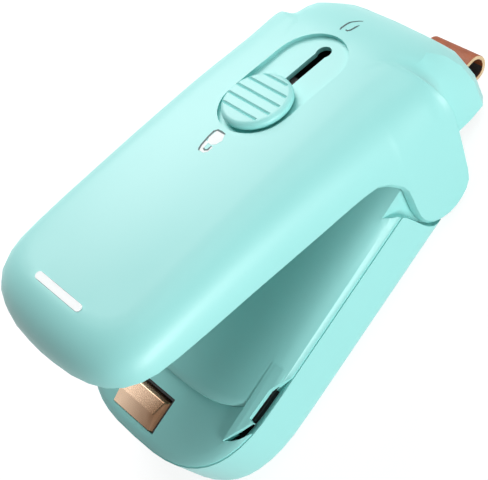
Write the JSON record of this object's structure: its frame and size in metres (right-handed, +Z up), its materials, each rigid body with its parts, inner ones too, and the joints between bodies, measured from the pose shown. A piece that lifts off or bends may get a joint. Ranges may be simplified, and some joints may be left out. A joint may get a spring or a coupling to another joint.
{
  "type": "mini bag sealer",
  "caption": "Hand-held heat sealer for opened bags: sprung lid with pressure pad, slide lock, heater bar in the base, small cutter mouth, inner battery and strap loop.",
  "frame": {"origin": "centre of the bounding box on the ground under the base", "axes": "+Z up, -Y towards the open jaws, +X to the side that holds the cutter mouth"},
  "size_m": [0.049, 0.103, 0.0551],
  "materials": {
    "shell": "moulded satin, pale aqua",
    "steel": "plain",
    "heater": "bronze coloured, rolled",
    "insulator": "black, moulded",
    "ceramic": "fired, white",
    "lead_white": "sleeve",
    "lead_red": "sleeve",
    "foil": "laminated foil",
    "board": "solder mask",
    "white_plastic": "moulded",
    "pad": "heat proof, grey",
    "diffuser": "milky",
    "strap": "brown, cut edges"
  },
  "bodies": {
    "base": {"base_shell": "shell", "base_deck": "shell", "base_screws": "steel", "hinge_pin": "steel", "return_spring": "steel", "heater_seat": "insulator", "heater_core": "ceramic", "heater_block": "heater", "heater_leads": "lead_white", "blade_holder": "insulator", "cutter_blade": "steel", "battery_cell": "foil", "battery_leads": "lead_red", "main_board": "board", "usb_socket": "steel", "press_switch": "insulator"},
    "lid": {"lid_shell": "shell", "lid_liner": "shell", "lid_screws": "steel", "pressure_pad": "pad", "light_guide": "diffuser", "led_board": "board", "strap_pin": "steel", "strap_loop": "strap"},
    "slide": {"slide_button": "shell", "slide_latch": "insulator", "slide_screw": "steel"},
    "plunger": {"switch_plunger": "white_plastic"}
  },
  "joints": [
    {"name": "lid_hinge", "type": "hinge", "parent": "base", "child": "lid", "pos_m": [0, 0.02341, 0.0081], "axis": [1, 0, 0], "range_deg": [0, 26], "stiffness_Nm_per_rad": 0.03, "springref_deg": -40.11, "deforming": ["return_spring"]},
    {"name": "lock_slide", "type": "slide", "parent": "lid", "child": "slide", "axis": [0, 0.9272, -0.3746], "range_m": [0, 0.011]},
    {"name": "switch_press", "type": "slide", "parent": "base", "child": "plunger", "axis": [0, 0, -1], "range_m": [0, 0.0003]}
  ],
  "couplings": [
    {"joint": "switch_press", "follows": "lid_hinge", "m_per_rad": 0.00066104}
  ]
}
